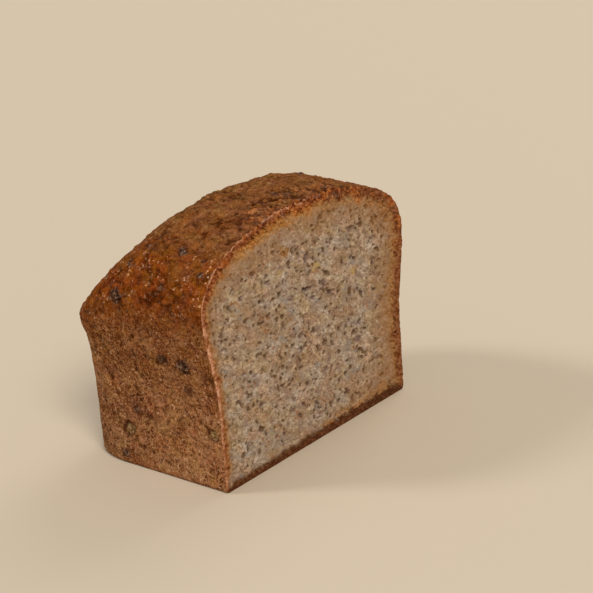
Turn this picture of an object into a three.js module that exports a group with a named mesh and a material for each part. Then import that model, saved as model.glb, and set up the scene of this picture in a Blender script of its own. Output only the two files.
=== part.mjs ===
// The rest of a wholegrain spelt loaf baked in a tin: the end piece that is left after slicing.
// Millimetres, +Z up. The loaf lies along X and stands on z = 0.
// Its cut face looks along +X, its baked end along -X.
import * as THREE from 'three';
import { mergeVertices } from 'three/addons/utils/BufferGeometryUtils.js';
import { ImprovedNoise } from 'three/addons/math/ImprovedNoise.js';

const { lerp, smoothstep, seededRandom } = THREE.MathUtils;

// Driving dimensions of the cross-section
const BASE_WIDTH = 104.4;
const SHOULDER_WIDTH = 112.6;
const WAIST_HEIGHT = 30; // the walls are upright below this height and swell above it
const SHOULDER_HEIGHT = 64;
const CROWN_HEIGHT = 90;
const DOME_POWER = 2.15; // 2 is an ellipse, more is squarer
const BASE_EDGE = 1.5; // radius of the edge between the walls and the underside
const LEAN = 0.02; // sideways lean towards -Y for each millimetre of height

// Driving dimensions along the length
const LENGTH = 67;
const TIN_DEPTH = 46.5; // the dome starts to fall towards the baked end above this height
const HIP_LENGTH = 36;
const HIP_POWER = 1.25;
const HIP_END = 0.04; // share of the dome that is left where it meets the end wall
const HIP_EASE = 0.12; // how softly the crown turns into the fall
const CROWN_RISE = 0.0011; // growth of the dome for each millimetre away from the cut
const CORNER_RADIUS = 21; // plan radius of the two baked corners
const CORNER_POWER = 2.5;

// Relief of the crust and of the cut
const SIDE_LUMP = 0.3;
const TOP_LUMP = 0.8;
const LUMP_SIZE = 7;
const CRAG_COUNT = 60;
const CRAG_RADIUS = [3, 6.5];
const CRAG_HEIGHT = [-0.9, 1.4];
const LIP_WIDTH = 5; // breadth of the crust where the knife went through it
const CRUMB_SINK = 0.8; // how far the crumb lies behind the crust's rim
const CUT_WAVE = 0.5;
const CUT_WAVE_SIZE = 17;

// The grid of quads that covers the loaf
const STEPS = { along: 28, across: 40, up: 20 };
const END_GATHER = 1.5; // draws the rings of quads together towards the baked end
const WALL_GATHER = 1.35; // draws the rows of quads on the walls together towards the lower edge
const WALL_SHARE = 0.75; // share of the upward steps that lies below the shoulder
const CORNER_ANGLE = Math.PI / 4; // where on the dome the walls give way to the top
const SPINE = { height: 36, end: LENGTH - 32 }; // relief points away from this line inside the loaf

const perlin = new ImprovedNoise();

// A quarter of a superellipse: 0 at t = 0, and 1 from t = 1 on.
function roundOff(t, power) {
  const rest = Math.max(0, 1 - t);
  return Math.pow(1 - Math.pow(rest, power), 1 / power);
}

// Share of the dome's height at a distance from the baked end.
function domeShare(fromEnd) {
  const rest = 1 - fromEnd / HIP_LENGTH;
  const easedRest = (rest + Math.hypot(rest, HIP_EASE)) / (1 + Math.hypot(1, HIP_EASE));
  return lerp(HIP_END, 1, roundOff(1 - easedRest, HIP_POWER));
}

// How far the lower edge is tucked in at height z.
function edgeTuck(z) {
  return BASE_EDGE * (1 - roundOff(z / BASE_EDGE, 2));
}

function halfWidth(z) {
  const width = lerp(BASE_WIDTH, SHOULDER_WIDTH, smoothstep(z, WAIST_HEIGHT, SHOULDER_HEIGHT));
  return width / 2 - edgeTuck(z);
}

// A point of the dome's outline, by its angle above the far shoulder.
function domePoint(angle) {
  const cosine = Math.cos(angle);
  const reach = Math.sign(cosine) * Math.pow(Math.abs(cosine), 2 / DOME_POWER);
  const rise = Math.pow(Math.sin(angle), 2 / DOME_POWER);
  return {
    y: (reach * SHOULDER_WIDTH) / 2,
    z: SHOULDER_HEIGHT + rise * (CROWN_HEIGHT - SHOULDER_HEIGHT),
  };
}

// The far wall from the floor (up = 0), over its shoulder, to where the top begins (up = 1).
function wallPoint(up) {
  if (up > WALL_SHARE) return domePoint((CORNER_ANGLE * (up - WALL_SHARE)) / (1 - WALL_SHARE));
  const z = SHOULDER_HEIGHT * Math.pow(up / WALL_SHARE, WALL_GATHER);
  return { y: halfWidth(z), z };
}

// The cross-section as a patch between floor, walls and top: across and up both run from 0 to 1.
function sectionPoint(across, up) {
  const side = 2 * across - 1;
  const floorY = side * halfWidth(0);
  const top = domePoint(Math.PI / 2 - side * (Math.PI / 2 - CORNER_ANGLE));
  const wall = wallPoint(up);
  const corner = wallPoint(1);
  return {
    y: lerp(floorY, top.y, up) + side * (wall.y - lerp(halfWidth(0), corner.y, up)),
    z: up * top.z + wall.z - up * corner.z,
  };
}

// A point of the smooth loaf, before its relief. along runs from the baked end (0) to the cut (1).
function loafPoint(along, across, up) {
  const fromEnd = LENGTH * Math.pow(along, END_GATHER);
  const x = fromEnd - LENGTH;
  const section = sectionPoint(across, up);
  const inset = CORNER_RADIUS * (1 - roundOff(fromEnd / CORNER_RADIUS, CORNER_POWER));
  const dome = domeShare(fromEnd) - CROWN_RISE * x;
  const z = section.z > TIN_DEPTH ? TIN_DEPTH + (section.z - TIN_DEPTH) * dome : section.z;
  const endShare = 1 - fromEnd / LENGTH;
  return new THREE.Vector3(
    x + endShare * edgeTuck(z),
    section.y * (1 - inset / (SHOULDER_WIDTH / 2)) - LEAN * z,
    z,
  );
}

// The way that relief moves a point of the crust: straight away from the spine.
function outward(point) {
  const spineX = Math.max(point.x, -SPINE.end);
  return new THREE.Vector3(point.x - spineX, point.y, point.z - SPINE.height).normalize();
}

// Craggy lumps and dents on the top, spread by a seeded draw.
function makeCrags() {
  return Array.from({ length: CRAG_COUNT }, () => ({
    centre: loafPoint(lerp(0.25, 1, seededRandom()), seededRandom(), 1),
    radius: lerp(...CRAG_RADIUS, seededRandom()),
    height: lerp(...CRAG_HEIGHT, seededRandom()),
  }));
}

function cragRelief(point, crags) {
  return crags.reduce((sum, { centre, radius, height }) => {
    const nearness = Math.max(0, 1 - point.distanceTo(centre) / radius);
    return sum + height * nearness * nearness * (3 - 2 * nearness);
  }, 0);
}

// Height of the crust above the smooth loaf. The underside stays flat where it stands.
function crustRelief(point, crags) {
  const onTop = smoothstep(point.z, WAIST_HEIGHT, SHOULDER_HEIGHT);
  const offFloor = smoothstep(point.z, 0, 2 * LUMP_SIZE);
  const noise = perlin.noise(point.x / LUMP_SIZE, point.y / LUMP_SIZE, point.z / LUMP_SIZE);
  return offFloor * (noise * lerp(SIDE_LUMP, TOP_LUMP, onTop) + cragRelief(point, crags));
}

// Depth of the cut behind the knife's plane: the crust's rim stands, the crumb sinks back and waves.
function cutRelief(point, toRim) {
  const crumb = smoothstep(toRim, 0, LIP_WIDTH);
  const wave = CUT_WAVE * perlin.noise(point.y / CUT_WAVE_SIZE, point.z / CUT_WAVE_SIZE, 0.5);
  return crumb * (wave - CRUMB_SINK);
}

// Distance from a point of the cut to the nearest side of its outline, near enough for the relief.
function rimDistance(point, across, up) {
  const rims = [loafPoint(1, 0, up), loafPoint(1, 1, up), loafPoint(1, across, 0), loafPoint(1, across, 1)];
  return Math.min(...rims.map((rim) => rim.distanceTo(point)));
}

// A box whose vertices are moved onto the loaf.
function makeLoaf() {
  seededRandom(1813);
  const crags = makeCrags();
  const box = new THREE.BoxGeometry(1, 1, 1, STEPS.along, STEPS.across, STEPS.up);
  box.deleteAttribute('normal');
  box.deleteAttribute('uv');
  const geometry = mergeVertices(box);
  const position = geometry.getAttribute('position');
  for (let i = 0; i < position.count; i++) {
    const along = position.getX(i) + 0.5;
    const across = position.getY(i) + 0.5;
    const up = position.getZ(i) + 0.5;
    const point = loafPoint(along, across, up);
    const toRim = along === 1 ? rimDistance(point, across, up) : 0;
    if (toRim > 0) point.x += cutRelief(point, toRim);
    else point.addScaledVector(outward(point), crustRelief(point, crags));
    position.setXYZ(i, point.x, point.y, point.z);
  }
  // The origin is the middle of the footprint.
  geometry.computeBoundingBox();
  const centre = geometry.boundingBox.getCenter(new THREE.Vector3());
  geometry.translate(-centre.x, -centre.y, 0);
  geometry.computeVertexNormals();
  return geometry;
}

const bread = new THREE.MeshStandardMaterial({ color: 0x7a5030, roughness: 0.75, metalness: 0 });
const loaf = new THREE.Mesh(makeLoaf(), bread);
loaf.name = 'loaf';

const group = new THREE.Group();
group.add(loaf);

export default group;
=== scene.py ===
"""The end piece of a wholegrain spelt loaf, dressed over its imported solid."""

import math

import bpy
import numpy as np
from mathutils import Matrix, Vector
from mathutils.kdtree import KDTree


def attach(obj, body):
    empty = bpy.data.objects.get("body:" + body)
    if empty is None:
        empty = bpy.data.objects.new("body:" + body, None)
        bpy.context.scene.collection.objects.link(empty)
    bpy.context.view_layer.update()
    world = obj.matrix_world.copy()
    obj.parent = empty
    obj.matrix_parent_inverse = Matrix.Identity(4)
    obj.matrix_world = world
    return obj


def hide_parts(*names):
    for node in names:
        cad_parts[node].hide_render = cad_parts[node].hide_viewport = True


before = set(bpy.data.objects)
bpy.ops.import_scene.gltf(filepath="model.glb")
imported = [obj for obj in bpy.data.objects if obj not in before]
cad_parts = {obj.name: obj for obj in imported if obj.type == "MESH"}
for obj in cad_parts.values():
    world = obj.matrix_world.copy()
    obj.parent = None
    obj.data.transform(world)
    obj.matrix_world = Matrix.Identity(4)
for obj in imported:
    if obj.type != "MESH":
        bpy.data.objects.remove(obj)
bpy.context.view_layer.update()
draw = np.random.default_rng(seed=41)

# The loaf's sizes in millimetres, its powers and its shares, as in the solid's source.
# The cut is at x = 0 and the floor at z = 0.
BASE_WIDTH = 104.4
SHOULDER_WIDTH = 112.6
WAIST_HEIGHT = 30
SHOULDER_HEIGHT = 64
CROWN_HEIGHT = 90
DOME_POWER = 2.15
BASE_EDGE = 1.5
LEAN = 0.02
LENGTH = 67
TIN_DEPTH = 46.5
HIP_LENGTH = 36
HIP_POWER = 1.25
HIP_END = 0.04
HIP_EASE = 0.12
CROWN_RISE = 0.0011
CORNER_RADIUS = 21
CORNER_POWER = 2.5

# Steps of the meshes in millimetres, counts of rings, and counts of points on the curves that they follow
SKIN_STEP = 0.5
FLOOR_STEP = 2.6
CRUMB_STEP = 0.33
STATIONS = 120
CAP_RINGS = 38
CAP_START = 0.02  # where the end wall's first ring lies, as a share of the way out
CAP_SHARES = np.linspace(CAP_START, 1, CAP_RINGS, endpoint=False)
WALL_SAMPLES = 400
DOME_SAMPLES = 800
LENGTH_SAMPLES = 4000

MM = 0.001
FAR_AWAY = 1e9  # more than any distance in the loaf
TABLE_SIZE = 256  # entries in the noises' shuffled tables
NOISE_GAIN = 1.6  # spreads the gradient noise to about -1 to 1


# Helpers for numbers


def smooth(value, low, high):
    """0 below low, 1 above high, and a soft step between."""
    t = np.clip((value - low) / (high - low), 0, 1)
    return t * t * (3 - 2 * t)


def mix(a, b, t):
    return a + (b - a) * t


def cell_key(table, at):
    """An entry of the shuffled table for each cell of a grid."""
    key = table[at[:, 0] % TABLE_SIZE]
    key = table[(key + at[:, 1]) % TABLE_SIZE]
    return table[(key + at[:, 2]) % TABLE_SIZE]


def lattice_noise(points, seed):
    """Gradient noise, from about -1 to 1, with one cell a unit."""
    source = np.random.default_rng(seed)
    table = source.permutation(TABLE_SIZE)
    slopes = source.normal(size=(TABLE_SIZE, 3))
    slopes /= np.linalg.norm(slopes, axis=1, keepdims=True)
    cell = np.floor(points).astype(int)
    part = points - cell
    fade = part**3 * (part * (part * 6 - 15) + 10)
    total = np.zeros(len(points))
    for corner in np.ndindex(2, 2, 2):
        key = cell_key(table, cell + corner)
        weight = np.where(corner, fade, 1 - fade).prod(1)
        total += weight * ((part - corner) * slopes[key]).sum(1)
    return NOISE_GAIN * total


def fractal_noise(points, size, seed, octaves=2):
    """Layers of noise, each half as large as the one before it."""
    total = np.zeros(len(points))
    for layer in range(octaves):
        total += lattice_noise(points * 2**layer / size, seed + layer) / 2**layer
    return total


def bend(points, size, reach, seed):
    """The points, each moved a little by noise, so that patterns drawn on them lose their straight lines."""
    moves = [fractal_noise(points, size, seed + 10 * axis) for axis in range(3)]
    return points + reach * np.stack(moves, -1)


def cell_noise(points, size, seed):
    """Scattered cells: a gap that grows from 0 at their borders, and a level from -1 to 1 for each cell."""
    source = np.random.default_rng(seed)
    table = source.permutation(TABLE_SIZE)
    jitter = source.uniform(0, 1, (TABLE_SIZE, 3))
    levels = source.uniform(-1, 1, TABLE_SIZE)
    scaled = points / size
    cell = np.floor(scaled).astype(int)
    first = np.full(len(points), FAR_AWAY)
    second = np.full(len(points), FAR_AWAY)
    level = np.zeros(len(points))
    for offset in np.ndindex(3, 3, 3):
        at = cell + offset - 1
        key = cell_key(table, at)
        gap = np.linalg.norm(scaled - at - jitter[key], axis=1)
        closer = gap < first
        second = np.where(closer, first, np.minimum(second, gap))
        level = np.where(closer, levels[key], level)
        first = np.minimum(first, gap)
    return second - first, level


def run_length(u, v):
    """Distance along a curve from its first point to each of its points."""
    return np.concatenate([[0], np.cumsum(np.hypot(np.diff(u), np.diff(v)))])


def near_line(points, line):
    """Distance from each point to a line of straight runs."""
    gap = np.full(len(points), FAR_AWAY)
    for start, end in zip(np.array(line[:-1]), np.array(line[1:])):
        run = end - start
        t = np.clip((points - start) @ run / (run @ run), 0, 1)
        gap = np.minimum(gap, np.linalg.norm(points - start - t[:, None] * run, axis=1))
    return gap


# The loaf's form


def round_off(t, power):
    """A quarter of a superellipse: 0 at t = 0, and 1 from t = 1 on."""
    rest = np.clip(1 - t, 0, 1)
    return (1 - rest**power) ** (1 / power)


def edge_tuck(z):
    """How far the lower edge is tucked in at height z."""
    return BASE_EDGE * (1 - round_off(z / BASE_EDGE, 2))


def half_width(z):
    width = mix(BASE_WIDTH, SHOULDER_WIDTH, smooth(z, WAIST_HEIGHT, SHOULDER_HEIGHT))
    return width / 2 - edge_tuck(z)


def dome_share(from_end):
    """Share of the dome's height at a distance from the baked end."""
    rest = 1 - from_end / HIP_LENGTH
    eased = (rest + np.hypot(rest, HIP_EASE)) / (1 + math.hypot(1, HIP_EASE))
    return mix(HIP_END, 1, round_off(1 - eased, HIP_POWER))


def corner_inset(from_end):
    """How far the walls draw in towards the baked end."""
    return CORNER_RADIUS * (1 - round_off(from_end / CORNER_RADIUS, CORNER_POWER))


def skin_outline():
    """The cross-section from the near lower edge over the dome to the far one, then back along the floor."""
    wall_z = np.linspace(0, SHOULDER_HEIGHT, WALL_SAMPLES)
    wall_y = half_width(wall_z)
    angle = np.linspace(np.pi, 0, DOME_SAMPLES)[1:-1]
    reach = np.sign(np.cos(angle)) * np.abs(np.cos(angle)) ** (2 / DOME_POWER)
    rise = np.sin(angle) ** (2 / DOME_POWER)
    dome_y = reach * SHOULDER_WIDTH / 2
    dome_z = mix(SHOULDER_HEIGHT, CROWN_HEIGHT, rise)
    y = np.concatenate([-wall_y, dome_y, wall_y[::-1]])
    z = np.concatenate([wall_z, dome_z, wall_z[::-1]])
    run = run_length(y, z)
    even = np.linspace(0, run[-1], round(run[-1] / SKIN_STEP))
    floor_count = round(BASE_WIDTH / FLOOR_STEP)
    floor_y = np.linspace(y[-1], y[0], floor_count)[1:-1]
    outline_y = np.concatenate([np.interp(even, run, y), floor_y])
    outline_z = np.concatenate([np.interp(even, run, z), np.zeros(len(floor_y))])
    return outline_y, outline_z


def stations():
    """Distances from the baked end, evenly spaced along the walls and round their corner."""
    fine = LENGTH * np.linspace(0, 1, LENGTH_SAMPLES) ** 3
    run = run_length(fine, corner_inset(fine))
    return np.interp(np.linspace(0, run[-1], STATIONS), run, fine)


def place(y, z, from_end):
    """A point of the cross-section, carried to its place along the loaf."""
    x = from_end - LENGTH
    share = dome_share(from_end) - CROWN_RISE * x
    height = np.where(z > TIN_DEPTH, TIN_DEPTH + (z - TIN_DEPTH) * share, z)
    along = x + (1 - from_end / LENGTH) * edge_tuck(height)
    across = y * (1 - corner_inset(from_end) / (SHOULDER_WIDTH / 2)) - LEAN * height
    return np.stack(np.broadcast_arrays(along, across, height), -1)


def end_cap(end):
    """Rings that close the baked end, from its middle outwards."""
    middle = np.array([-LENGTH, 0, TIN_DEPTH / 2])
    rings = []
    for share in CAP_SHARES:
        ring = middle + (end - middle) * share
        ring[:, 0] = -LENGTH + edge_tuck(ring[:, 2])
        rings.append(ring)
    return rings


# The crust's looks follow a level: a height that falls only beside the baked end
LEVEL_END = 0.2  # share of the dome that is left where it meets the end wall
LEVEL_FALL = 14  # distance from the end within which it falls
LEVEL_RIM = 0.86  # share of the way out on the end wall from which it leaves the real height
TOP_LEVELS = (50, 66)  # between these the walls' skin gives way to the top's


def skin_level(cap, z, from_end):
    """The level of each point of the end wall, where it is mostly the real height, and of the other skin."""
    share = mix(LEVEL_END, 1, smooth(from_end, 0, LEVEL_FALL))[:, None]
    level = np.where(z > TIN_DEPTH, TIN_DEPTH + (z - TIN_DEPTH) * share, z)
    rim = smooth(CAP_SHARES, LEVEL_RIM, 1)[:, None]
    return np.concatenate([mix(cap[:, :, 2], level[0], rim), level])


def ring_normals(skin):
    """Outward normals and areas of a grid of rings that runs from the baked end to the cut."""
    around = np.roll(skin, -1, 1) - np.roll(skin, 1, 1)
    along = np.gradient(skin, axis=0)
    normal = np.cross(along, around)
    area = np.linalg.norm(normal, axis=2)
    return normal / (area[..., None] + 1e-12), area


# Relief of the crust


# Dark blisters: place on the smooth loaf, radius, and strength from 0 to 1
BLISTERS = [
    ((-21.5, -54.9, 45.6), 3.2, 0.7),
    ((-12.5, -54.7, 44.5), 3.6, 1.0),
    ((-12.5, -53.2, 35.8), 2.6, 0.5),
    ((-38.0, -52.7, 22.8), 3.0, 0.6),
    ((-32.3, -52.6, 21.7), 2.0, 0.4),
    ((-45.7, -52.3, 4.5), 2.6, 0.7),
    ((-38.0, -57.4, 65.8), 3.6, 1.0),
    ((-18.3, -55.9, 72.1), 2.2, 0.6),
    ((-4.0, -51.7, 77.0), 2.2, 0.8),
    ((-16.4, -46.1, 81.5), 2.6, 0.8),
    ((-31.2, -46.9, 81.6), 2.4, 0.6),
    ((-35.2, -51.7, 76.4), 2.0, 0.6),
    ((-11.9, -2.7, 90.6), 2.2, 0.6),
    ((-3.3, 6.9, 89.9), 1.8, 0.6),
    ((-14.0, 53.0, 45.0), 3.2, 0.9),
    ((-27.0, 53.5, 50.0), 2.4, 0.6),
    ((-36.0, 51.9, 17.0), 3.0, 0.7),
    ((-9.0, 51.8, 24.0), 2.2, 0.5),
    ((-25.0, 51.5, 74.5), 2.6, 0.8),
    ((-25.0, 28.2, 87.7), 2.2, 0.6),
    ((-67.0, -22.0, 33.0), 3.2, 0.9),
    ((-67.0, -8.0, 39.0), 2.2, 0.5),
    ((-67.0, 24.0, 21.0), 2.8, 0.7),
    ((-67.0, 6.0, 9.0), 2.2, 0.5),
]
BLISTER_HEIGHT = 0.45
BLISTER_GRAIN = 0.6
# Burst blisters that lie open, in the same way
CRATERS = [
    ((-42.7, -52.5, 14.1), 3.5, 1.0),
    ((-4.0, -52.6, 20.6), 3.0, 1.0),
    ((-25.0, 51.9, 10.0), 3.2, 1.0),
    ((-67.0, 17.0, 34.0), 3.2, 1.0),
]
CRATER_DEPTH = 0.9
# A crevice across the crown
CRACK = [(-12.0, -15.0, 90.0), (-10.0, -12.0, 90.1), (-7.0, -5.5, 90.3), (-3.5, -2.0, 90.2)]
CRACK_WIDTH = 1.7
CRACK_DEPTH = 1.3

# Pits: on the top or not, count, radii and depths
PITS = [
    (False, 1900, (0.5, 0.9), (0.15, 0.35)),
    (False, 150, (0.9, 1.5), (0.3, 0.55)),
    (True, 500, (0.7, 1.4), (0.2, 0.5)),
]

# Sizes of the crust's patterns, in millimetres
SWELL_SIZE = 11
LUMP_SIZE = 4.2
GRAIN_SIZE = 1.7
PLATE_SIZE = 4.4
FLAKE_SIZE = 1.9
SPECK_SIZE = 2.0
BLOTCH_SIZE = 6.5
CRACKED_SIZE = 8

# Their heights and depths, in millimetres. A pair is for the walls and for the top.
SWELL_HEIGHT = (0.25, 0.5)
LUMP_HEIGHT = 0.55
GRAIN_HEIGHT = (0.11, 0.2)
FLAKE_HEIGHT = (0.07, 0.24)
PLATE_HEIGHT = 0.2
TORN_PLATE_HEIGHT = 0.4
PLATE_CRACK = 0.4
TORN_CRACK = 0.3  # added where the crown is torn
SPECK_DEPTH = 0.15
# The painted shade in the crust's hollows deepens with their depth
DARK_DEPTH = 0.7  # at this depth a hollow is as dark as it gets

# Heights between which the relief sets in, and levels where the smoother shoulder begins and ends
FOOT = (0, 3)
SHOULDER_BEGINS = (52, 62)
SHOULDER_ENDS = (78, 86)

# Borders of the torn crown, along the loaf and across it, and how ragged they are, in millimetres
TORN_ALONG = (-16, -5)
TORN_NEAR = (-38, -22)
TORN_FAR = (18, 36)
TORN_RAGGED = 3


def press_pits(points, area, top, off_floor):
    """Depth of the small round pits in the crust."""
    tree = KDTree(len(points))
    for number, point in enumerate(points):
        tree.insert(point, number)
    tree.balance()
    depth = np.zeros(len(points))
    for on_top, count, radii, depths in PITS:
        weight = area * (top if on_top else (1 - top) * off_floor)
        for centre in points[draw.choice(len(points), count, p=weight / weight.sum())]:
            radius = draw.uniform(*radii)
            deep = draw.uniform(*depths)
            for _, number, gap in tree.find_range(centre, radius):
                depth[number] = max(depth[number], deep * (1 - (gap / radius) ** 2))
    return depth


def round_cover(points, places):
    """The strength of each round place in its middle, falling to 0 at its edge."""
    cover = np.zeros(len(points))
    for centre, radius, strength in places:
        gap = np.linalg.norm(points - centre, axis=1) / radius
        cover = np.maximum(cover, strength * (1 - smooth(gap, 0.3, 1.1)))
    return cover


def torn_across(y, top):
    """Share of the torn crown across the loaf: 1 in the middle of the top, 0 towards both walls."""
    return smooth(y, *TORN_NEAR) * (1 - smooth(y, *TORN_FAR)) * top


def torn_share(points, top):
    """1 where the crown is torn beside the cut, 0 away from there."""
    ragged = TORN_RAGGED * fractal_noise(points, size=7, seed=151)
    beside_cut = smooth(points[:, 0] + ragged, *TORN_ALONG)
    return beside_cut * torn_across(points[:, 1] + ragged, top)


def flaky_relief(points, bent, grain, top, torn, shoulder):
    """Height of the crust's grain, flakes and plates, and depth of the cracks between them."""
    plate_gap, plate_level = cell_noise(bent, PLATE_SIZE, seed=5)
    flake_gap, flake_level = cell_noise(bent, FLAKE_SIZE, seed=6)
    flaky = mix(*FLAKE_HEIGHT, top) * (1 - 0.5 * shoulder)
    raised = flaky * flake_level + mix(*GRAIN_HEIGHT, top) * grain
    raised += mix(PLATE_HEIGHT, TORN_PLATE_HEIGHT, torn) * (1 - 0.5 * shoulder) * top * plate_level
    patchy = smooth(fractal_noise(points, CRACKED_SIZE, seed=61), -0.2, 0.3)
    cracks = (PLATE_CRACK + TORN_CRACK * torn) * top * patchy * (1 - smooth(plate_gap, 0.02, 0.22))
    cracks += 0.8 * flaky * (1 - smooth(flake_gap, 0.0, 0.3))
    return raised, cracks


def crust_relief(points, area, level, top):
    """Height of the skin above the smooth loaf, and from 0 to 1 its painted shade in hollows with dark
    specks, and its blisters, craters and tears.
    """
    off_floor = smooth(points[:, 2], *FOOT)
    shoulder = smooth(level, *SHOULDER_BEGINS) * (1 - smooth(level, *SHOULDER_ENDS))
    torn = torn_share(points, top)
    bent = bend(points, size=3.0, reach=0.8, seed=300)
    wavy = bend(points, size=2.0, reach=0.8, seed=500)

    lumps = fractal_noise(points, SWELL_SIZE, seed=3) * mix(*SWELL_HEIGHT, top)
    crags = fractal_noise(points, LUMP_SIZE, seed=13)
    lumps += crags * LUMP_HEIGHT * top * (1 - 0.25 * shoulder)
    grain = fractal_noise(points, GRAIN_SIZE, seed=37)
    raised, cracks = flaky_relief(points, bent, grain, top, torn, shoulder)
    crevice = CRACK_DEPTH * (1 - smooth(near_line(bent, CRACK), 0.3 * CRACK_WIDTH, CRACK_WIDTH))
    specks = smooth(fractal_noise(bent, SPECK_SIZE, seed=91), 0.25, 0.6) * (1 - 0.6 * top)
    blotch = smooth(fractal_noise(bent, BLOTCH_SIZE, octaves=3, seed=111), 0.3, 0.7)
    blister = round_cover(wavy, BLISTERS)
    burst = round_cover(wavy, CRATERS)
    pits = press_pits(points, area, top, off_floor)

    depth = cracks + crevice + pits + SPECK_DEPTH * specks
    swollen = blister * (BLISTER_HEIGHT + BLISTER_GRAIN * grain)
    relief = lumps + raised + swollen - depth - CRATER_DEPTH * burst
    # Painted shade: darker with the depth of pits, cracks and the crevice, lighter on raised flakes, together
    # with real dark specks and blotches
    hollow_shade_and_specks = depth / DARK_DEPTH + 0.2 * specks + 0.2 * blotch - mix(0.4, 0.8, top) * raised
    # Painted shadow in a ring round each burst crater
    hollow_shade_and_specks += 3 * burst * (1 - burst)
    return off_floor * relief, np.clip(hollow_shade_and_specks, 0, 1), blister, burst, torn


# The crust's rim on the cut


# Sizes of the rim, in millimetres. The pair is for the walls and for the top.
RIM_INSETS = np.array([0.25, 0.55, 0.9, 1.35, 1.9, 2.5, 3.2, 4.0, 5.0, 6.2, 7.6])
RIM_ROUGHNESS = (0.3, 0.55)
RIM_SINK = 0.35
RECESS_DEPTH = 2.6
BURR_HEIGHT = 0.1


def flat_points(y, z, third):
    """Points of the cut with a third coordinate, as the noises take them."""
    return np.stack([y, z, np.full(len(y), third)], -1)


def lip_highlight_share(edge):
    """Where the knife drew the crust's outer edge out to a fine raised burr, painted pale as a highlight: on
    the near side only.
    """
    height = edge[:, 2]
    least = mix(-0.8, -0.6, smooth(height, 72, 82))
    broken = smooth(fractal_noise(edge, size=5, octaves=3, seed=131), least, 0.1)
    fading = mix(0.6, 1, smooth(height, 20, 42))
    fading *= mix(1, 0.8, smooth(height, 72, 84))
    fading *= smooth(height, 0, 4)
    return (1 - smooth(edge[:, 1], -10, 8)) * fading * broken


def lip_highlight_width(z):
    """Breadth of the painted highlight along the rim's outer edge, in millimetres: broadest below the
    shoulder, thin on top.
    """
    return mix(1.2, 1.8, smooth(z, 24, 44)) * mix(1, 0.4, smooth(z, 58, 74))


def band_width(y, z):
    """Breadth of the toasted band on the cut, as a share of the usual: more on top and on the far side."""
    broad = np.maximum(smooth(z, 60, 78), smooth(y, -30, 20))
    return mix(0.9, 1.35, broad) * mix(0.75, 1, smooth(z, 2, 14))


def rim_rings(edge, lip_and_highlight, top):
    """Rings on the cut from the outer edge inwards, which sink behind the crumb further in."""
    along = np.roll(edge, -1, 0) - np.roll(edge, 1, 0)
    inward = np.stack([np.zeros(len(edge)), along[:, 2], -along[:, 1]], -1)
    inward /= np.linalg.norm(inward, axis=1, keepdims=True)
    rings = []
    for inset in RIM_INSETS:
        ring = edge + inward * inset
        flat = flat_points(ring[:, 1], ring[:, 2], inset)
        uneven = fractal_noise(flat, size=2.4, octaves=3, seed=51)
        rough = uneven * mix(*RIM_ROUGHNESS, top) * smooth(inset, 0, 2)
        burr = BURR_HEIGHT * lip_and_highlight * smooth(inset, 0, 0.3) * (1 - smooth(inset, 0.4, 1.0))
        sink = RIM_SINK * smooth(inset, 0.4, 2.6) + RECESS_DEPTH * smooth(inset, 3.4, 7.4)
        ring[:, 0] = edge[:, 0] + burr + rough - sink
        rings.append(ring)
    return rings


def build_crust():
    """The whole baked loaf as one closed mesh, with a shallow recess on the cut for the crumb."""
    y, z = skin_outline()
    from_end = stations()
    walls = np.array([place(y, z, d) for d in from_end])
    cap = np.array(end_cap(walls[0]))
    skin = np.concatenate([cap, walls])
    level = skin_level(cap, z, from_end)
    top = smooth(level, *TOP_LEVELS)
    normal, area = ring_normals(skin)
    normal[-1, :, 0] = 0  # the last ring stays in the plane of the cut
    fields = crust_relief(skin.reshape(-1, 3), area.reshape(-1), level.reshape(-1), top.reshape(-1))
    relief, hollow_shade_and_specks, blister, burst, torn = (field.reshape(top.shape) for field in fields)
    skin = skin + normal * relief[..., None]
    edge = skin[-1]
    lip_and_highlight = lip_highlight_share(edge)
    rims = rim_rings(edge, lip_and_highlight, top[-1])

    bare = np.zeros(top.shape)
    plain = np.zeros((len(rims), len(y)))
    inset = plain + RIM_INSETS[:, None]
    skin_and_rim = {
        "level": (level, plain + z),
        "top": (top, plain + top[-1]),
        "hollow_shade_and_specks": (hollow_shade_and_specks, plain),
        "blister": (blister, plain),
        "burst": (burst, plain),
        "torn": (torn, plain + torn_across(edge[:, 1], top[-1])),
        # The painted highlight along the near rim's outer edge, fading inwards
        "lip_and_highlight": (bare, lip_and_highlight * (1 - smooth(inset / lip_highlight_width(edge[:, 2]), 0.6, 1.5))),
        "band": (bare, inset / band_width(edge[:, 1], edge[:, 2])),
        "cut": (bare, plain + 1),
    }
    masks = {key: np.concatenate(pair).reshape(-1) for key, pair in skin_and_rim.items()}
    return ring_mesh("loaf_crust", np.concatenate([skin, rims]), masks)


def ring_quads(levels, count):
    """The numbers of the vertices in rings of equal count, and the quads between the rings."""
    index = np.arange(levels * count).reshape(levels, count)
    following = np.roll(index, -1, 1)
    quads = np.stack([index[:-1], index[1:], following[1:], following[:-1]], -1)
    return index, quads.reshape(-1, 4)


def ring_mesh(name, rings, masks):
    """A closed mesh from rings of equal count, with one face over each open end."""
    index, quads = ring_quads(*rings.shape[:2])
    ends = [index[0].tolist(), index[-1][::-1].tolist()]
    return make_piece(name, rings.reshape(-1, 3), quads.tolist() + ends, masks)


# The crumb


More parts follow.
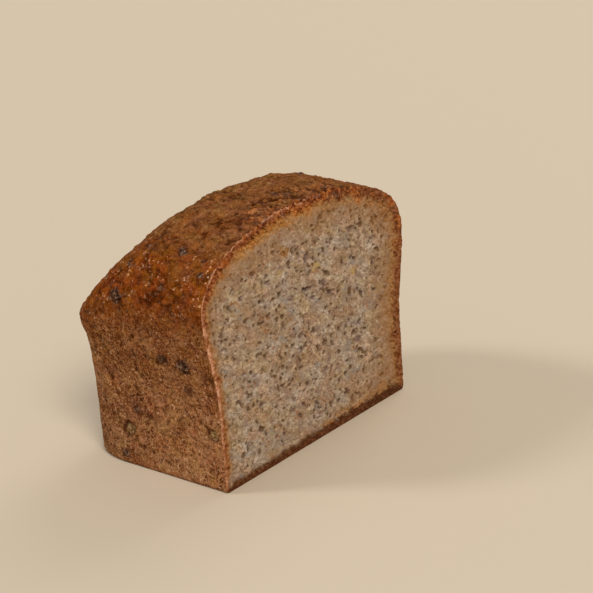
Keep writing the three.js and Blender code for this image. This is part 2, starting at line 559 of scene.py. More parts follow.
# The crumb's sheet and its relief, in millimetres and shares
CRUMB_REACH = 60  # half the breadth of the grid that the sheet is cut from
CRUMB_BORDER = 1.5  # distance from the loaf's outline to the sheet's border
CRUMB_SINK = 0.4
BORDER_SINK = 2.4  # how much deeper the border lies, behind the rim
SLAB_BACK = -7.0
WAVE_SIZE = 15
WAVE_HEIGHT = 0.3
CRUMB_GRAIN_SIZE = 1.3
CRUMB_GRAIN_HEIGHT = 0.1
CRUMB_STRETCH = 0.65  # the grain is drawn out along the lie of the pores
CRUMB_SLOPE = 0.3
CUT_PLANE = 0.5  # third coordinate of the cut in its noises
PORE_PLANE = 3.3  # the same for the pores
OUTLINE_BLOCK = 64  # points of the outline that are measured at once

# Pores: count, smallest and largest radius, depth as a share of the radius
PORES = [
    (6000, 0.2, 0.38, 1.2),
    (1100, 0.38, 0.66, 1.5),
    (100, 0.66, 1.05, 1.4),
]
PORE_LEAN = -0.45  # lie of the pores' long axes, in radians above the level
PORE_TURN = 0.5  # spread about that
PORE_LENGTHS = (1.1, 2.2)  # least and greatest length, in breadths of the pore
PORE_LIFTS = (-0.3, 0.5)  # share of its depth that a pore loses. Below 0, the crumb round it sinks as well
PORE_MARGIN = 0.8  # how far the carved window reaches past a pore's ends
PORE_BEGINS = (2.0, 4.5)  # distances from the loaf's outline between which the pores set in

# Large cavities: place on the cut, half their length and height, and depth
CAVITIES = [
    (24.5, 71.5, 2.6, 1.5, 1.0),
    (-1.2, 68.0, 2.1, 2.2, 1.0),
    (-2.0, 57.2, 2.6, 1.0, 1.6),
    (6.5, 56.8, 2.8, 1.1, 1.4),
    (1.0, 53.0, 2.1, 1.4, 1.2),
    (10.5, 52.0, 2.3, 0.9, 1.4),
    (37.2, 55.5, 2.5, 2.6, 0.9),
    (-23.5, 66.2, 1.8, 1.0, 1.0),
    (-11.8, 56.8, 2.3, 1.5, 0.8),
    (-7.0, 41.5, 2.5, 1.3, 1.0),
    (-16.5, 47.5, 1.5, 1.2, 1.1),
    (27.2, 35.5, 2.3, 1.2, 0.8),
    (25.8, 29.2, 3.4, 1.7, 0.9),
    (-37.0, 64.5, 1.8, 1.2, 0.8),
    (-38.0, 38.0, 1.6, 1.1, 0.9),
    (-30.0, 24.0, 2.2, 1.3, 0.9),
    (-14.0, 16.0, 2.6, 1.2, 1.0),
    (6.0, 24.0, 2.0, 1.4, 0.9),
    (18.0, 11.0, 2.4, 1.0, 1.0),
    (38.0, 18.0, 2.1, 1.5, 0.8),
]

# Stains: place on the cut, half their length and height, and tint, from -1 for straw to 1 for rusty bran
STAINS = [
    (-13.5, 74.0, 3.2, 2.8, 1.0),
    (-20.0, 70.0, 1.6, 1.2, 0.5),
    (-27.5, 55.0, 1.8, 1.0, 0.5),
    (3.0, 64.0, 2.8, 2.0, -0.9),
    (24.5, 55.5, 2.4, 1.6, -0.8),
    (-16.0, 67.5, 2.4, 1.6, -0.5),
]
# A fine raised seam on the cut, beside the far wall, painted pale as a highlight
SEAM = [(29.0, 76.0, CUT_PLANE), (30.0, 67.8, CUT_PLANE), (32.0, 60.8, CUT_PLANE), (33.0, 55.0, CUT_PLANE)]
SEAM_HEIGHT = 0.25


def outline_distance(y, z):
    """How far each point of the cut lies inside the loaf's outline. It is negative outside."""
    rim_y, rim_z = skin_outline()
    rim_y = rim_y - LEAN * rim_z
    gap = np.full(len(y), FAR_AWAY)
    for start in range(0, len(rim_y), OUTLINE_BLOCK):
        block = slice(start, start + OUTLINE_BLOCK)
        away = np.hypot(y[:, None] - rim_y[None, block], z[:, None] - rim_z[None, block])
        gap = np.minimum(gap, away.min(1))
    flat_y = y + LEAN * z
    over = np.clip((z - SHOULDER_HEIGHT) / (CROWN_HEIGHT - SHOULDER_HEIGHT), 0, 1)
    reach = SHOULDER_WIDTH / 2 * (1 - over**DOME_POWER) ** (1 / DOME_POWER)
    limit = np.where(z > SHOULDER_HEIGHT, reach, half_width(np.clip(z, 0, SHOULDER_HEIGHT)))
    inside = (np.abs(flat_y) < limit) & (z > 0) & (z < CROWN_HEIGHT)
    return np.where(inside, gap, -gap)


def oval_gap(points, middle_y, middle_z, length, height):
    """Distance from the middle of an oval on the cut, which is 1 at the oval's edge."""
    return np.hypot((points[:, 0] - middle_y) / length, (points[:, 1] - middle_z) / height)


def stain_tint(cut):
    """Tint of the stained places on the cut."""
    bent = bend(cut, size=1.8, reach=0.8, seed=860)
    tint = np.zeros(len(cut))
    for *oval, strength in STAINS:
        tint += strength * (1 - smooth(oval_gap(bent, *oval), 0.4, 1.1))
    return tint


def carve_cavities(cut):
    """Depth of the large cavities, and how far each point lies inside one, from 0 to 1, which sets their
    painted shade.
    """
    bent = bend(cut, size=2.2, reach=0.7, seed=800)
    uneven = 1 + 0.5 * fractal_noise(cut, size=1.8, seed=830)
    depth = np.zeros(len(cut))
    cover = np.zeros(len(cut))
    for *oval, deep in CAVITIES:
        bowl = 1 - smooth(oval_gap(bent, *oval), 0.3, 1.1)
        depth = np.maximum(depth, deep * bowl * uneven)
        cover = np.maximum(cover, bowl)
    return depth, cover


def carve_pores(ys, zs):
    """Depth of the small pores that the knife opened, on the crumb's grid."""
    grid_y, grid_z = np.meshgrid(ys, zs, indexing="ij")
    flat = flat_points(grid_y.reshape(-1), grid_z.reshape(-1), PORE_PLANE)
    bent = bend(flat, size=1.6, reach=0.5, seed=700)
    bent_y = bent[:, 0].reshape(grid_y.shape)
    bent_z = bent[:, 1].reshape(grid_y.shape)
    depth = np.zeros(grid_y.shape)
    for count, small, large, steepness in PORES:
        for _ in range(count):
            radius = draw.uniform(small, large)
            middle_y = draw.uniform(ys[0], ys[-1])
            middle_z = draw.uniform(zs[0], zs[-1])
            length = radius * draw.uniform(*PORE_LENGTHS)
            turn = draw.normal(PORE_LEAN, PORE_TURN)
            lift = draw.uniform(*PORE_LIFTS)
            span = length + PORE_MARGIN
            first_y, last_y = np.searchsorted(ys, (middle_y - span, middle_y + span))
            first_z, last_z = np.searchsorted(zs, (middle_z - span, middle_z + span))
            window = (slice(first_y, last_y), slice(first_z, last_z))
            off_y = bent_y[window] - middle_y
            off_z = bent_z[window] - middle_z
            u = (off_y * math.cos(turn) + off_z * math.sin(turn)) / length
            v = (off_z * math.cos(turn) - off_y * math.sin(turn)) / radius
            bowl = np.sqrt(np.clip(1 - u * u - v * v, 0, None)) - lift
            depth[window] = np.maximum(depth[window], radius * steepness * bowl)
    return depth.reshape(-1)


def crumb_wave(y, z):
    """The crumb's shallow waves and its grain, drawn out along the lie of the pores."""
    drawn = flat_points(CRUMB_STRETCH * y, z + CRUMB_SLOPE * y, CUT_PLANE)
    wave = WAVE_HEIGHT * fractal_noise(drawn, WAVE_SIZE, seed=71)
    return wave + CRUMB_GRAIN_HEIGHT * fractal_noise(drawn, CRUMB_GRAIN_SIZE, seed=83)


def grid_quads(kept):
    """The numbers of the points that a grid keeps, and the quads between them."""
    whole = kept[:-1, :-1] & kept[1:, :-1] & kept[:-1, 1:] & kept[1:, 1:]
    number = np.arange(kept.size).reshape(kept.shape)
    quads = np.stack([number[:-1, :-1], number[1:, :-1], number[1:, 1:], number[:-1, 1:]], -1)[whole]
    used, quads = np.unique(quads, return_inverse=True)
    return used, quads.reshape(-1, 4)


def build_crumb():
    """The crumb on the cut as a closed slab: a fine grid in front, flat behind."""
    ys = np.arange(-CRUMB_REACH, CRUMB_REACH, CRUMB_STEP)
    zs = np.arange(0, CROWN_HEIGHT + 1, CRUMB_STEP)
    y, z = (a.reshape(-1) for a in np.meshgrid(ys, zs, indexing="ij"))
    cut = flat_points(y, z, CUT_PLANE)
    inset = outline_distance(y, z)
    pores = carve_pores(ys, zs) * smooth(inset, *PORE_BEGINS)
    cavities, cover = carve_cavities(cut)
    seam_and_highlight = 1 - smooth(near_line(bend(cut, size=3.0, reach=0.6, seed=880), SEAM), 0.2, 0.9)
    hollows = np.maximum(pores, cavities + 0.4 * pores)
    # Painted shade in the pores and the deepest cavities, by their depth
    dark = np.maximum(pores / 0.8, (cavities - 0.9) / 0.6)
    sink = CRUMB_SINK + BORDER_SINK * (1 - smooth(inset, 1.2, 3.4))
    front = crumb_wave(y, z) - sink - hollows + SEAM_HEIGHT * seam_and_highlight

    used, quads = grid_quads((inset > CRUMB_BORDER).reshape(len(ys), len(zs)))
    top = smooth(z, *TOP_LEVELS)
    masks = {
        "level": z,
        "top": top,
        "hollow_shade_and_specks": np.clip(dark, 0, 1),
        "cavity_shade": cover,
        "stain": stain_tint(cut),
        "seam_and_highlight": seam_and_highlight,
        "torn": torn_across(y, top),
        "band": inset / band_width(y, z),
        "cut": np.ones(len(y)),
    }
    points = np.stack([front, y, z], -1)
    return close_behind(points[used], quads, {k: v[used] for k, v in masks.items()})


def close_behind(points, quads, masks):
    """Gives the crumb's sheet a wall behind its border and a flat back."""
    sides = np.concatenate([quads[:, [k, (k + 1) % 4]] for k in range(4)])
    forward = {(a, b) for a, b in sides.tolist()}
    border = {a: b for a, b in forward if (b, a) not in forward}
    start = min(border)
    loop = [start]
    while border[loop[-1]] != start:
        loop.append(border[loop[-1]])
    first_back = len(points)
    back = points[loop].copy()
    back[:, 0] = SLAB_BACK
    walls = []
    for k in range(len(loop)):
        after = (k + 1) % len(loop)
        walls.append([loop[after], loop[k], first_back + k, first_back + after])
    faces = quads.tolist() + walls
    faces.append([first_back + k for k in reversed(range(len(loop)))])
    masks = {k: np.concatenate([v, v[loop]]) for k, v in masks.items()}
    return make_piece("loaf_crumb", np.concatenate([points, back]), faces, masks)


# Pieces


FLOOR_LIMIT = 1e-6  # the solid's vertices below this height, in metres, stand on the floor


def frame_shift():
    """Where the cut's plane and the middle of the underside lie in the frame."""
    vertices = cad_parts["loaf"].data.vertices
    places = np.array([v.co for v in vertices])
    floor = places[places[:, 2] < FLOOR_LIMIT]
    return np.array([floor[:, 0].max(), (floor[:, 1].min() + floor[:, 1].max()) / 2, 0])


SHIFT = frame_shift()


def new_object(name, data):
    """A new object in the scene."""
    made = bpy.data.objects.new(name, data)
    bpy.context.scene.collection.objects.link(made)
    return made


def make_piece(name, points, faces, masks):
    """A piece of the loaf from points in millimetres. Its masks become attributes of its mesh."""
    mesh = bpy.data.meshes.new(name)
    mesh.from_pydata((points * MM + SHIFT).tolist(), [], faces)
    mesh.validate()
    for key, values in masks.items():
        layer = mesh.attributes.new(key, "FLOAT", "POINT")
        layer.data.foreach_set("value", values.astype(np.float32))
    mesh.shade_smooth()
    mesh.update()
    piece = new_object(name, mesh)
    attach(piece, "root")
    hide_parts("loaf")
    return piece


# Nodes of the bread's material


BREAD = bpy.data.materials.new("bread")
BREAD.use_nodes = True
TREE = BREAD.node_tree
TREE.nodes.clear()


def colour(red, green, blue):
    """A colour on screen, from 0 to 255, as linear light."""
    values = np.array([red, green, blue]) / 255
    linear = np.where(values <= 0.04045, values / 12.92, ((values + 0.055) / 1.055) ** 2.4)
    return (*linear.tolist(), 1.0)


def node(kind, sockets=None, **settings):
    """A new node of the bread's material. Each of its sockets takes a value or a link."""
    made = TREE.nodes.new("ShaderNode" + kind)
    for key, value in settings.items():
        setattr(made, key, value)
    for key, value in (sockets or {}).items():
        if isinstance(value, bpy.types.NodeSocket):
            TREE.links.new(value, made.inputs[key])
        else:
            made.inputs[key].default_value = value
    return made


def noise(where, size, detail=3.0, rough=0.6):
    """A noise from 0 to 1. Its size is in millimetres."""
    sockets = {"Vector": where, "Scale": 1 / (size * MM), "Detail": detail, "Roughness": rough}
    return node("TexNoise", sockets).outputs["Fac"]


def maths(operation, a, b=0.0):
    return node("Math", {0: a, 1: b}, operation=operation).outputs[0]


def times(a, b):
    return maths("MULTIPLY", a, b)


def half_and_half(a, b):
    return times(maths("ADD", a, b), 0.5)


def split(where, axis):
    """One coordinate of a place, in metres."""
    return node("SeparateXYZ", {"Vector": where}).outputs[axis]


def shift(where, seed):
    """Coordinates moved along X, so that a pattern can be used again."""
    sockets = {0: where, 1: (0.1 * seed, 0, 0)}
    return node("VectorMath", sockets, operation="ADD").outputs["Vector"]


def step(value, low, high, out_low=0.0, out_high=1.0):
    """A soft step from one value to another while the input goes from low to high."""
    sockets = {"Value": value, "From Min": low, "From Max": high, "To Min": out_low, "To Max": out_high}
    return node("MapRange", sockets, interpolation_type="SMOOTHSTEP").outputs["Result"]


def blend(share, a, b, kind="MIX"):
    made = node("Mix", {0: share, 6: a, 7: b}, data_type="RGBA", blend_type=kind)
    return made.outputs[2]


def mask(name):
    """A mask that the mesh holds. It is 0 all over a mesh without it."""
    return node("Attribute", attribute_name=name).outputs["Fac"]


TONE_PLACES = (0.36, 0.5, 0.62)  # values of a noise that get the dark, the middle and the light tone


def three_tones(value, *tones):
    """A noise value spread over three colours."""
    made = node("ValToRGB", {"Fac": value})
    elements = made.color_ramp.elements
    elements.new(0.5)
    for element, at, tone in zip(elements, TONE_PLACES, tones):
        element.position = at
        element.color = colour(*tone)
    return made.outputs["Color"]


# Patterns of the materials. Their sizes are in millimetres.


def spots(where, size, share, strength, seed):
    """Uneven spots where a noise is high, from 0 to the strength. A larger share covers more."""
    edge = 0.66 - 0.3 * share
    return step(noise(shift(where, seed), size), edge, edge + 0.07, 0.0, strength)


def patches(where, size, strength, seed):
    """Large soft patches that cover about half of the surface, from 0 to the strength."""
    soft = noise(shift(where, seed), size, detail=1.5, rough=0.5)
    return step(soft, 0.46, 0.62, 0.0, strength)


def flecks(where, size, share, strength, seed):
    """Separate ragged flecks, from 0 to the strength. The share is that of cells with a fleck in them."""
    rough = node("TexNoise", {"Vector": where, "Scale": 1.3 / (size * MM), "Detail": 2.0})
    sockets = {0: rough.outputs["Color"], 1: (2 * size * MM,) * 3, 2: shift(where, seed)}
    ragged = node("VectorMath", sockets, operation="MULTIPLY_ADD").outputs["Vector"]
    cells = node("TexVoronoi", {"Vector": ragged, "Scale": 1 / (size * MM)})
    level = node("SeparateColor", {"Color": cells.outputs["Color"]}).outputs["Red"]
    filled = step(level, 1 - share, 1.02 - share, 0.0, strength)
    return times(filled, step(cells.outputs["Distance"], 0.3, 0.5, 1.0, 0.0))


def strewn(where, base, rows, within=None):
    """A colour strewn with rows of spots or flecks, only within a mask if there is one."""
    for pattern, size, share, strength, seed, tint in rows:
        cover = pattern(where, size, share, strength, seed)
        if within is not None:
            cover = times(cover, within)
        base = blend(cover, base, tint)
    return base


def tinted(where, base, size, strength, seed, tints):
    """A colour that takes on other tints in soft patches, but stays as light as it was."""
    for number, tint in enumerate(tints):
        share = patches(where, size, strength, seed + number)
        base = blend(share, base, colour(*tint), "COLOR")
    return base


# Colours of the crust


# Rows of spots and flecks: pattern, size, share, strength, seed and colour
SCORCHED = colour(62, 28, 16)
MAUVE = colour(130, 99, 86)
WALL_SPOTS = [
    (spots, 7.0, 0.5, 0.5, 1, colour(100, 50, 18)),
    (spots, 9.0, 0.5, 0.3, 2, colour(176, 132, 94)),
]
WALL_BRAN = [(flecks, 2.6, 0.25, 0.8, 9, colour(84, 34, 8))]
WALL_SPECKS = [
    (flecks, 1.5, 0.4, 1.0, 3, colour(58, 22, 2)),
    (flecks, 0.9, 0.4, 1.0, 17, colour(62, 24, 2)),
]
# Small pale flecks on the walls
WALL_PALE_FLECKS = [(flecks, 1.1, 0.15, 0.7, 4, colour(200, 160, 124))]
SHOULDER_SPOTS_AND_GLINTS = [
    (spots, 4.5, 0.4, 0.25, 5, colour(70, 26, 6)),
    (flecks, 3.4, 0.4, 0.6, 10, colour(58, 21, 4)),
    # Small pale flecks: painted glints
    (flecks, 1.0, 0.1, 0.85, 6, colour(208, 158, 116)),
]
CROWN_FLECKS = [
    (flecks, 2.6, 0.3, 0.5, 8, colour(72, 33, 8)),
    (flecks, 1.7, 0.12, 0.5, 18, colour(176, 128, 88)),
]
TORN_SPOTS = [
    (spots, 3.0, 0.45, 0.75, 25, SCORCHED),
    (spots, 3.0, 0.2, 0.5, 26, MAUVE),
]

# Levels between which the crust's colours change, with up to LEVEL_STRAY added in patches
LEVEL_STRAY = 30
LOWER_WALL = (25, 50)
UPPER_WALL = (20, 70)
TOP_COLOURS = (58, 88)
CROWN_COLOURS = (90, 104)

# Stretches of X, in metres, where the lower wall gets painted light towards the cut and painted shade towards
# the end
PAINTED_LIGHT_STRETCH = (-0.005, 0.03)
PAINTED_SHADE_STRETCH = (-0.025, 0.015)


def wall_colour(where, grain, level, busy):
    """Tan walls with rusty, olive and pale patches, which darken towards the shoulder. Low down, painted
    light towards the cut and painted shade towards the end.
    """
    low = three_tones(grain, (114, 67, 34), (148, 101, 62), (170, 125, 87))
    high = three_tones(grain, (93, 47, 13), (125, 74, 31), (150, 98, 50))
    wall = blend(step(level, *UPPER_WALL), low, high)
    along = split(where, "X")
    low_down = step(level, *LOWER_WALL, 1.0, 0.0)
    # Painted light on the lower wall towards the cut, and painted shade towards the baked end
    painted_light_near_cut = times(low_down, step(along, *PAINTED_LIGHT_STRETCH, 0.0, 0.4))
    painted_shade_near_end = times(low_down, step(along, *PAINTED_SHADE_STRETCH, 0.45, 0.0))
    wall = blend(painted_light_near_cut, wall, colour(178, 130, 88))
    wall = blend(painted_shade_near_end, wall, colour(88, 48, 22))
    wall = strewn(where, wall, WALL_SPOTS)
    wall = tinted(where, wall, 6.0, 0.35, 41, [(150, 76, 32), (134, 98, 50), (160, 104, 78)])
    wall = strewn(where, wall, WALL_BRAN)
    wall = strewn(where, wall, WALL_SPECKS, busy)
    return strewn(where, wall, WALL_PALE_FLECKS)


def shoulder_colour(where, grain):
    """Deep orange-brown with golden, red and dark patches, and small pale flecks that are painted glints."""
    tone = half_and_half(grain, noise(where, 3.0))
    shoulder = three_tones(tone, (70, 25, 1), (122, 57, 7), (142, 78, 18))
    shoulder = tinted(where, shoulder, 6.0, 0.4, 51, [(122, 76, 10), (124, 42, 8)])
    return strewn(where, shoulder, SHOULDER_SPOTS_AND_GLINTS)


def crown_colour(where, grain):
    """Brown, flaky crown with olive, orange and mauve patches and bran flecks."""
    tone = half_and_half(grain, noise(where, 3.5))
    crown = three_tones(tone, (78, 39, 12), (126, 77, 37), (150, 102, 60))
    crown = tinted(where, crown, 6.0, 0.5, 61, [(118, 82, 36), (154, 84, 26), (112, 66, 42)])
    return strewn(where, crown, CROWN_FLECKS)


def sanded(where, base, busy):
    """Fine sandy grain over the crust, dark red-brown and pale tan. The pale grains are fainter on top."""
    sand = noise(where, 0.55, detail=2.0, rough=0.8)
    dark = times(step(sand, 0.36, 0.5, 0.65, 0.0), busy)
    fainter = step(mask("top"), 0.0, 1.0, 1.0, 0.3)
    light = times(step(sand, 0.5, 0.64, 0.0, 0.45), fainter)
    base = blend(dark, base, colour(64, 24, 0))
    return blend(light, base, colour(196, 147, 107))


def torn_colour(where, grain, base):
    """Orange, scorched and mauve spots where the crown is torn beside the cut."""
    torn = mask("torn")
    orange = three_tones(grain, (128, 62, 18), (168, 92, 38), (198, 136, 82))
    base = strewn(where, base, [(spots, 3.4, 0.4, 0.7, 24, orange)], torn)
    return strewn(where, base, TORN_SPOTS, torn)


def blister_colour(where, grain, base):
    """Dark blisters with grey skin on a rusty ground, and burst ones with olive crumb inside."""
    blister = mask("blister")
    ragged = noise(where, 1.5, rough=0.7)
    skin = three_tones(ragged, (30, 14, 6), (60, 37, 24), (130, 104, 84))
    inside = three_tones(grain, (74, 46, 18), (132, 104, 66), (170, 144, 104))
    base = blend(step(blister, 0.0, 0.5, 0.0, 0.6), base, colour(92, 40, 15))
    base = blend(step(blister, 0.05, 0.8, 0.0, 0.95), base, skin)
    return blend(step(mask("burst"), 0.6, 1.0, 0.0, 0.9), base, inside)


def crust_colour(where):
    """The colours of the baked skin, by level. In busy patches the small dark grains are stronger."""
    patch = noise(where, 10)
    grain = noise(where, 1.3, rough=0.75)
    level = maths("ADD", mask("level"), times(patch, LEVEL_STRAY))
    busy = step(patches(where, 9.0, 1.0, 81), 0.0, 1.0, 0.65, 1.0)
    wall = wall_colour(where, grain, level, busy)
    shoulder = shoulder_colour(where, grain)
    crown = crown_colour(where, grain)
    top = blend(step(level, *CROWN_COLOURS), shoulder, crown)
    base = blend(step(level, *TOP_COLOURS), wall, top)
    base = sanded(where, base, busy)
    # Painted shade in the hollows, together with the dark specks and blotches
    base = blend(step(mask("hollow_shade_and_specks"), 0.1, 1.0, 0.0, 0.8), base, colour(54, 22, 3))
    base = torn_colour(where, grain, base)
    return blister_colour(where, grain, base)


# Colours of the cut


# Rows of spots and flecks, as for the crust
CRUMB_SPOTS = [
    (spots, 9.0, 0.5, 0.4, 16, colour(146, 114, 82)),
    (spots, 3.8, 0.35, 0.5, 13, colour(136, 107, 96)),
]
CRUMB_FLECKS = [
    (flecks, 3.2, 0.12, 0.5, 27, colour(134, 131, 126)),
    (flecks, 1.6, 0.08, 0.6, 19, colour(146, 88, 46)),
    (flecks, 1.2, 0.15, 0.6, 15, colour(98, 66, 36)),
    (flecks, 1.3, 0.08, 0.5, 20, colour(208, 188, 156)),
]
BAND_SPOTS = [
    (spots, 2.4, 0.45, 0.65, 22, SCORCHED),
    (spots, 3.0, 0.25, 0.5, 23, MAUVE),
]

# Stretches of Y, in metres, where the far side sets in and the band's glow begins and ends
FAR_STRETCH = (0.012, 0.04)
GLOW_BEGINS = (-0.042, -0.03)
GLOW_ENDS = (-0.004, 0.014)

# Distances from the loaf's outline, in millimetres where the band has its usual breadth
BAND_STRAY = 7.0  # the whole spread by which they stray in mottles
OUTER_BAND = (1.6, 4.2)
TORN_BAND = (2.4, 4.6)
BAND_TO_CRUMB = (2.6, 6.6)
WARM_CRUMB = (4.0, 16.0)


def crumb_colour(where):
    """Beige crumb, mottled with yellow, grey and mauve, with bran flecks, and painted shade in its pores and
    cavities.
    """
    coarse = noise(where, 2.4, detail=4.0, rough=0.65)
    tone = half_and_half(coarse, noise(where, 0.9, rough=0.7))
    crumb = three_tones(tone, (122, 99, 77), (164, 142, 119), (198, 179, 158))
    crumb = strewn(where, crumb, CRUMB_SPOTS)
    crumb = tinted(where, crumb, 5.0, 0.4, 71, [(180, 152, 108), (162, 150, 140), (176, 134, 102)])
    crumb = strewn(where, crumb, CRUMB_FLECKS)
    # The seam's painted highlight
    crumb = blend(times(mask("seam_and_highlight"), 0.6), crumb, colour(196, 168, 142))
    crumb = stained(where, crumb)
    # Painted shade in the pores and the deepest cavities
    crumb = blend(step(mask("hollow_shade_and_specks"), 0.12, 0.9, 0.0, 0.75), crumb, colour(84, 56, 32))
    # Painted shade inside the large cavities, in dusky mauve-grey tones
    shade = noise(where, 1.2, rough=0.7)
    cavity_shade_tones = three_tones(shade, (76, 54, 46), (114, 90, 80), (150, 130, 120))
    return blend(times(mask("cavity_shade"), 0.85), crumb, cavity_shade_tones)


def stained(where, crumb):
    """The crumb with its few straw and rusty stains."""
    stain = mask("stain")
    ragged = noise(where, 1.4, rough=0.7)
    straw = times(step(stain, -0.8, 0.0, 0.7, 0.0), step(ragged, 0.3, 0.5, 0.5, 1.0))
    crumb = blend(straw, crumb, colour(180, 149, 92))
    rust = three_tones(ragged, (84, 46, 10), (148, 96, 40), (184, 142, 96))
    rusty = times(step(stain, 0.0, 0.9, 0.0, 0.85), step(ragged, 0.52, 0.6, 1.0, 0.4))
    return blend(rusty, crumb, rust)


def crumb_place(where):
    """Coordinates on the cut, drawn out along the lie of the pores."""
    across = split(where, "Y")
    leaning = maths("ADD", split(where, "Z"), times(across, CRUMB_SLOPE))
    sockets = {"X": split(where, "X"), "Y": times(across, CRUMB_STRETCH), "Z": leaning}
    return node("CombineXYZ", sockets).outputs["Vector"]


def glow_share(across):
    """1 where the band glows: on top, on the near side of the middle."""
    glowing = times(step(across, *GLOW_BEGINS), step(across, *GLOW_ENDS, 1.0, 0.0))
    return times(mask("top"), glowing)


def band_colour(where, grain, depth, across):
    """The toasted band inside the rim: brown outside, tan or glowing yellow inside, and dark at the floor."""
    on_top = mask("top")
    torn = times(mask("torn"), step(depth, *TORN_BAND, 1.0, 0.0))
    wall = three_tones(grain, (104, 54, 28), (142, 84, 48), (168, 112, 72))
    crown = three_tones(grain, (84, 38, 18), (132, 70, 36), (172, 108, 66))
    dusky = three_tones(grain, (92, 46, 22), (126, 76, 44), (150, 102, 70))
    toast = three_tones(grain, (124, 80, 42), (154, 108, 62), (176, 134, 88))
    glow = three_tones(grain, (136, 82, 28), (182, 124, 54), (206, 158, 92))
    outer = blend(step(across, *FAR_STRETCH), blend(on_top, wall, crown), dusky)
    inner = blend(glow_share(across), toast, glow)
    band = blend(step(depth, *OUTER_BAND), outer, inner)
    orange = three_tones(grain, (140, 68, 20), (184, 102, 40), (204, 138, 78))
    band = strewn(where, band, [(spots, 3.2, 0.4, 0.5, 21, orange)], on_top)
    band = strewn(where, band, BAND_SPOTS, torn)
    ragged = maths("ADD", mask("level"), times(grain, 3.0))
    return blend(step(ragged, 1.2, 3.6, 0.85, 0.0), band, colour(64, 35, 20))


def warm_share(depth, across):
    """How far an orange-brown tint reaches into the crumb: under the top and beside the far wall."""
    side = maths("MAXIMUM", times(mask("top"), 0.8), step(across, *FAR_STRETCH))
    return times(side, step(depth, *WARM_CRUMB, 0.62, 0.0))


def cut_colour(where):
    """The colours of the cut, from the crust's rim to the crumb."""
    drawn = crumb_place(where)
    grain = noise(drawn, 1.0, rough=0.7)
    mottle = noise(drawn, 3.0, detail=4.0, rough=0.65)
    wander = times(maths("SUBTRACT", mottle, 0.5), BAND_STRAY)
    depth = maths("ADD", mask("band"), wander)
    across = split(where, "Y")
    band = band_colour(drawn, grain, depth, across)
    crumb = blend(warm_share(depth, across), crumb_colour(drawn), colour(150, 104, 58))
    cut = blend(step(depth, *BAND_TO_CRUMB), band, crumb)
    # Painted highlight along the near rim's outer edge
    pale = three_tones(grain, (168, 104, 68), (202, 144, 108), (222, 176, 146))
    lip_and_highlight = times(mask("lip_and_highlight"), step(mottle, 0.3, 0.5, 0.5, 1.0))
    return blend(lip_and_highlight, cut, pale)


# The bread's material


BUMP_SIZE = 0.7  # in millimetres, as is its depth
BUMP_DEPTH = 0.3
BUMP_STRENGTH = 0.7
SPECULAR_LEVEL = 0.01
COAT_ROUGHNESS = 0.16
BLISTER_COAT = 0.12
GLOSS_BEGINS = (52, 64)  # levels between which the shoulder's glints set in
GLOSS_ENDS = (76, 88)  # levels between which they fade


def glint_share(where, fine):
    """Small glossy places: flecks on the shoulder, and the blisters' skin."""
    level = mask("level")
    glossy = times(step(level, *GLOSS_BEGINS), step(level, *GLOSS_ENDS, 0.9, 0.2))
    glints = times(flecks(where, 1.0, 0.2, 1.0, 31), glossy)
    skin = times(mask("blister"), times(fine, BLISTER_COAT))
    return maths("MAXIMUM", glints, skin)


def paint_bread():
    """The nodes of the bread's material, for the crust and the cut. A mask tells them apart."""
    where = node("TexCoord").outputs["Object"]
    on_cut = mask("cut")
    base = blend(on_cut, crust_colour(where), cut_colour(where))
    fine = noise(where, BUMP_SIZE, rough=0.7)
    dull = step(mask("top"), 0.2, 1.0, 0.9, 0.7)
    wet = times(glint_share(where, fine), maths("SUBTRACT", 1.0, on_cut))
    sockets = {"Strength": BUMP_STRENGTH, "Distance": BUMP_DEPTH * MM, "Height": fine}
    bump = node("Bump", sockets).outputs["Normal"]
    sockets = {"Base Color": base, "Roughness": dull, "Normal": bump, "Coat Weight": wet, "Coat Normal": bump}
    shader = node("BsdfPrincipled", sockets)
    shader.inputs["Specular IOR Level"].default_value = SPECULAR_LEVEL
    shader.inputs["Coat Roughness"].default_value = COAT_ROUGHNESS
    node("OutputMaterial", {"Surface": shader.outputs["BSDF"]})


# Camera, floor and light


# The camera's turns in degrees, its distances in millimetres, and its focal length in pixels of the picture
CAMERA_AZIMUTH = 39.2146
CAMERA_ELEVATION = 19.7333
CAMERA_ROLL = -3.5288
CAMERA_DISTANCE = 575.7061
CAMERA_SIDE = -8.8011
CAMERA_RISE = 50.6054
FOCAL_PIXELS = 1606.8045
IMAGE_PIXELS = 593
SENSOR = 36.0

# The floor is a disc, in metres, which sweeps up far away, so that no horizon shows
FLOOR_FLAT = 1.5
FLOOR_RADIUS = 7.0
FLOOR_RISE = 1.2
FLOOR_SIDES = 96
FLOOR_RINGS = 24
FLOOR_COLOUR = colour(204, 188, 164)
FLOOR_ROUGHNESS = 0.8

# Lights: name, the way towards it, breadth in degrees, strength and tint
LIGHTS = [
    ("key", (0.7, -0.45, 0.75), 23, 2.0, (1, 0.96, 0.91)),
    ("window", (-0.6, -0.5, 0.65), 12, 0.99, (0.97, 0.98, 1)),
    ("rear", (-0.1, 0.8, 0.7), 33, 0.62, (1, 0.98, 0.95)),
]
WORLD_COLOUR = (1.0, 0.98, 0.95, 1)
WORLD_STRENGTH = 0.35


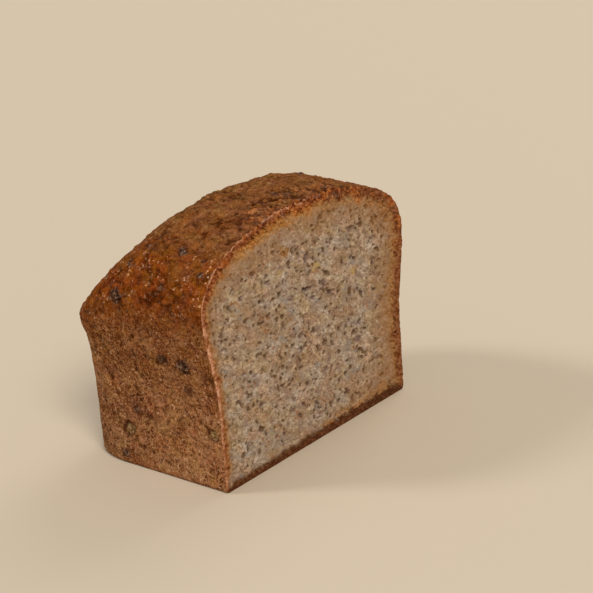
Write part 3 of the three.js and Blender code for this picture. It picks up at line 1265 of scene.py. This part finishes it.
def make_camera():
    """The camera, placed from the middle of the cut's lower edge."""
    azimuth = math.radians(CAMERA_AZIMUTH)
    elevation = math.radians(CAMERA_ELEVATION)
    roll = math.radians(CAMERA_ROLL)
    reach = math.cos(elevation)
    back = Vector((math.sin(azimuth) * reach, -math.cos(azimuth) * reach, math.sin(elevation)))
    level = Vector((math.cos(azimuth), math.sin(azimuth), 0))
    upright = back.cross(level)
    right = level * math.cos(roll) + upright * math.sin(roll)
    up = upright * math.cos(roll) - level * math.sin(roll)
    data = bpy.data.cameras.new("camera")
    data.sensor_width = SENSOR
    data.lens = FOCAL_PIXELS / IMAGE_PIXELS * SENSOR
    camera = new_object("camera", data)
    turn = Matrix((right, up, back)).transposed()
    eye = (back * CAMERA_DISTANCE + right * CAMERA_SIDE + up * CAMERA_RISE) * MM + Vector(SHIFT)
    camera.matrix_world = Matrix.Translation(eye) @ turn.to_4x4()
    bpy.context.scene.camera = camera


def floor_material():
    """Plain pale floor."""
    material = bpy.data.materials.new("floor")
    material.use_nodes = True
    shader = material.node_tree.nodes["Principled BSDF"]
    shader.inputs["Base Color"].default_value = FLOOR_COLOUR
    shader.inputs["Roughness"].default_value = FLOOR_ROUGHNESS
    return material


def make_floor():
    """The floor: one flat face in the middle, and rings that rise round it."""
    mesh = bpy.data.meshes.new("floor")
    share = np.linspace(0, 1, FLOOR_RINGS)[:, None]
    turn = np.linspace(0, 2 * np.pi, FLOOR_SIDES, endpoint=False)
    radius = mix(FLOOR_FLAT, FLOOR_RADIUS, share)
    height = np.broadcast_to(FLOOR_RISE * share**2, (FLOOR_RINGS, FLOOR_SIDES))
    points = np.stack([radius * np.cos(turn), radius * np.sin(turn), height], -1)
    index, quads = ring_quads(FLOOR_RINGS, FLOOR_SIDES)
    mesh.from_pydata(points.reshape(-1, 3).tolist(), [], quads.tolist() + [index[0].tolist()])
    mesh.shade_smooth()
    mesh.materials.append(floor_material())
    floor = new_object("floor", mesh)


def far_light(name, towards, breadth, strength, tint):
    """A broad light so far away that the whole floor is lit evenly."""
    data = bpy.data.lights.new(name, "SUN")
    data.angle = math.radians(breadth)
    data.energy = strength
    data.color = tint
    lamp = new_object(name, data)
    direction = Vector(towards).normalized()
    lamp.location = direction
    lamp.rotation_mode = "QUATERNION"
    lamp.rotation_quaternion = direction.to_track_quat("Z", "Y")


def make_light():
    """Soft studio light: an even world and three broad lights."""
    world = bpy.data.worlds.new("studio")
    world.use_nodes = True
    background = world.node_tree.nodes["Background"]
    background.inputs["Color"].default_value = WORLD_COLOUR
    background.inputs["Strength"].default_value = WORLD_STRENGTH
    bpy.context.scene.world = world
    for light in LIGHTS:
        far_light(*light)
    bpy.context.scene.view_settings.view_transform = "Standard"


paint_bread()
for bread_piece in (build_crust(), build_crumb()):
    bread_piece.data.materials.append(BREAD)
make_camera()
make_floor()
make_light()
